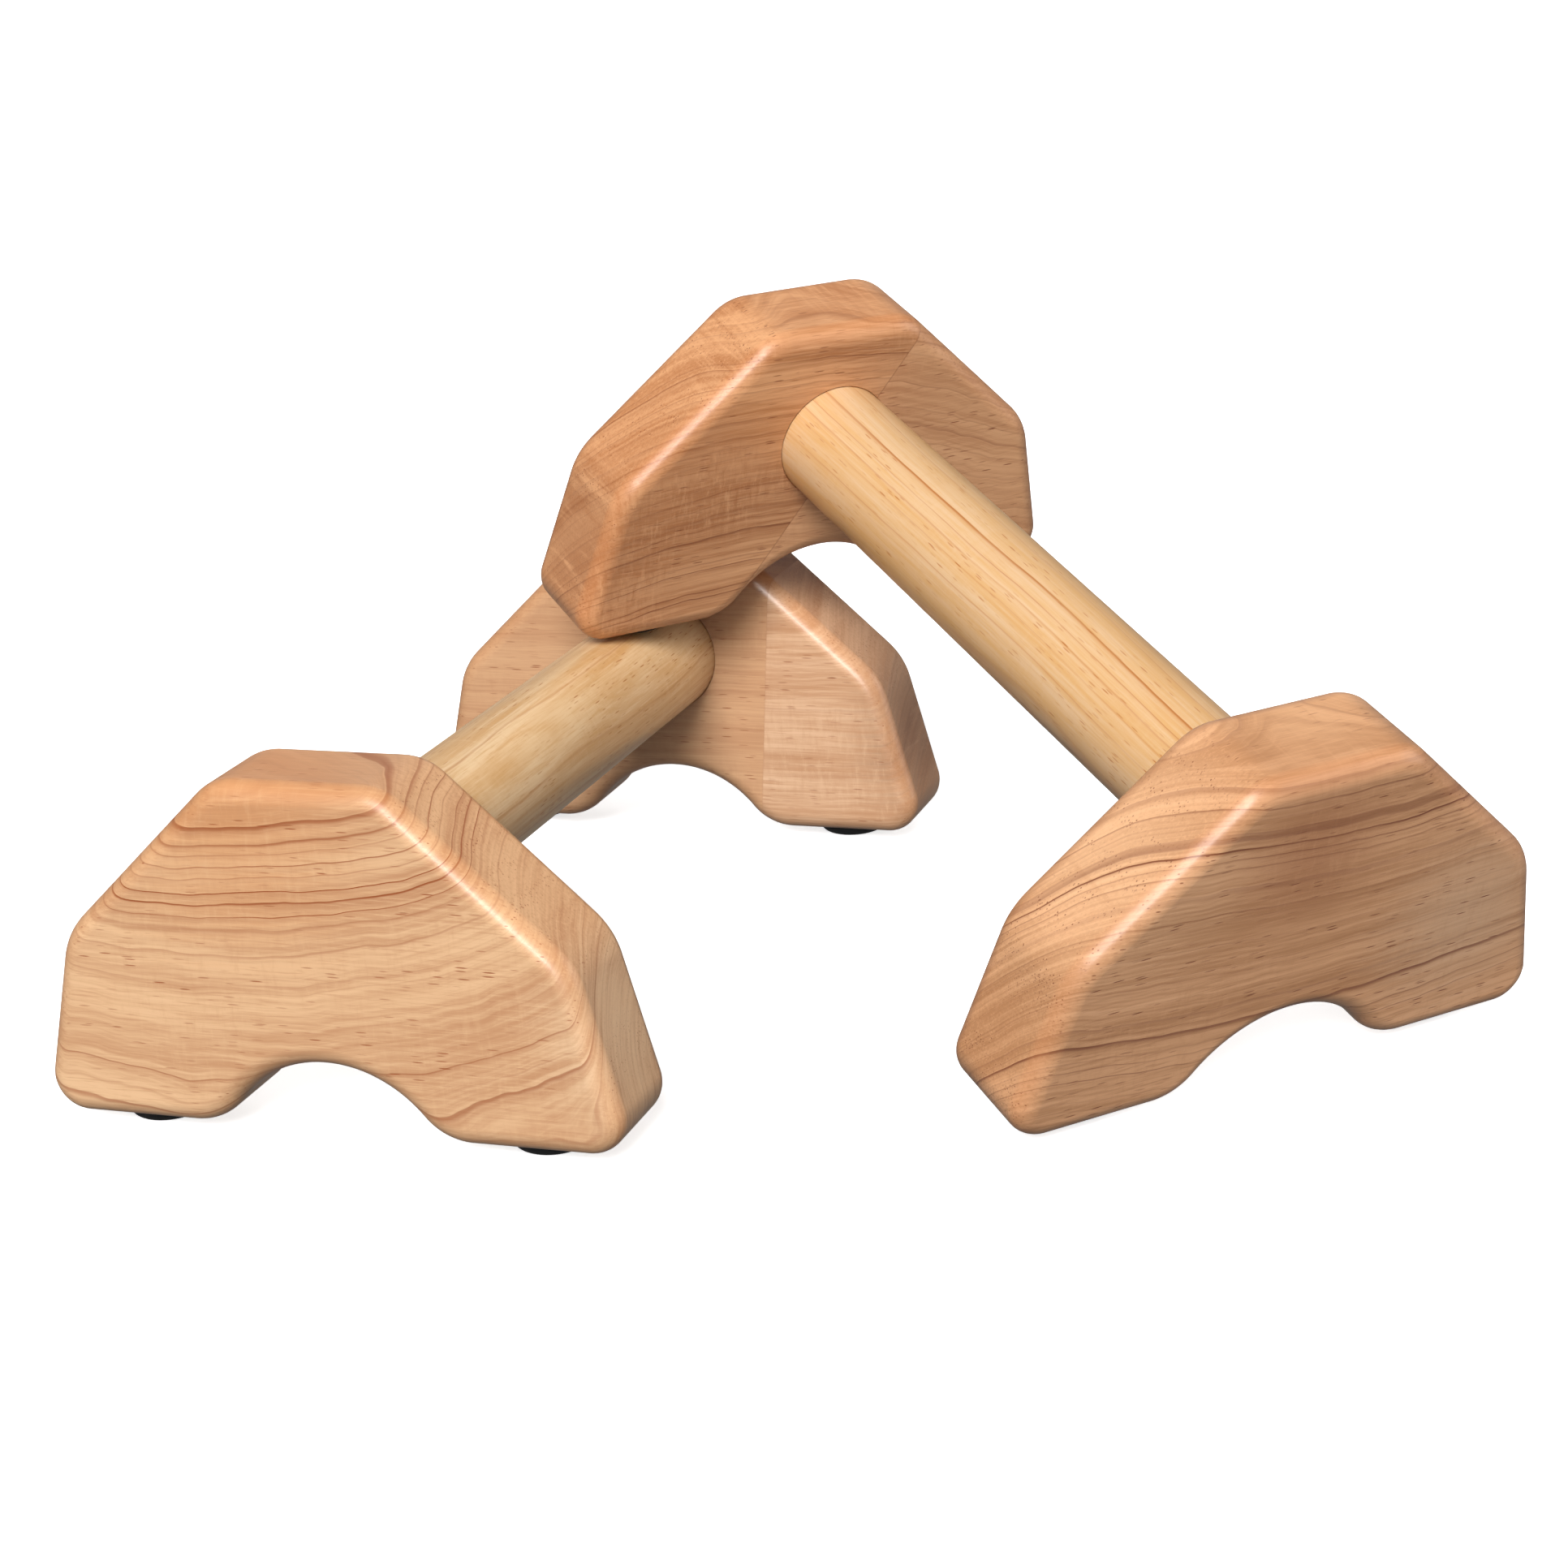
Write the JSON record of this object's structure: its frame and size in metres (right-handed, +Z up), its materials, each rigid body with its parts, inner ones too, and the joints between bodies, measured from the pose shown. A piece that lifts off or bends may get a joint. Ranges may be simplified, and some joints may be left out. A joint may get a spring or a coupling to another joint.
{
  "type": "parallettes",
  "caption": "Pair of low wooden push-up bars with round grips, arched feet and rubber pads; one stands on the floor, the other leans on it.",
  "frame": {"origin": "on the floor, at the centre of the pair's bounding box seen from above", "axes": "+Z up; +Y along the grip of the standing bar, towards its far foot; +X across the feet, from the standing bar towards the leaning one"},
  "size_m": [0.4061, 0.3638, 0.1974],
  "materials": {
    "standing_foot_wood": "honey-coloured hardwood, satin lacquer",
    "leaning_foot_wood": "redder hardwood with dark rings, satin lacquer",
    "grip_wood": "pale hardwood turned round, satin lacquer",
    "pad_rubber": "matt black, domed edge",
    "screw_steel": "plain zinc-plated steel"
  },
  "bodies": {
    "standing_bar": {"standing_near_foot": "standing_foot_wood", "standing_far_foot": "standing_foot_wood", "standing_grip": "grip_wood", "standing_near_left_pad": "pad_rubber", "standing_near_right_pad": "pad_rubber", "standing_far_left_pad": "pad_rubber", "standing_far_right_pad": "pad_rubber", "standing_near_locking_screw": "screw_steel", "standing_far_locking_screw": "screw_steel"},
    "leaning_bar": {"leaning_near_foot": "leaning_foot_wood", "leaning_far_foot": "leaning_foot_wood", "leaning_grip": "grip_wood", "leaning_near_left_pad": "pad_rubber", "leaning_near_right_pad": "pad_rubber", "leaning_far_left_pad": "pad_rubber", "leaning_far_right_pad": "pad_rubber", "leaning_near_locking_screw": "screw_steel", "leaning_far_locking_screw": "screw_steel"}
  },
  "joints": [
    {"name": "lift_off", "type": "slide", "parent": "standing_bar", "child": "leaning_bar", "axis": [0, 0, 1], "range_m": [0, 0.15]}
  ]
}
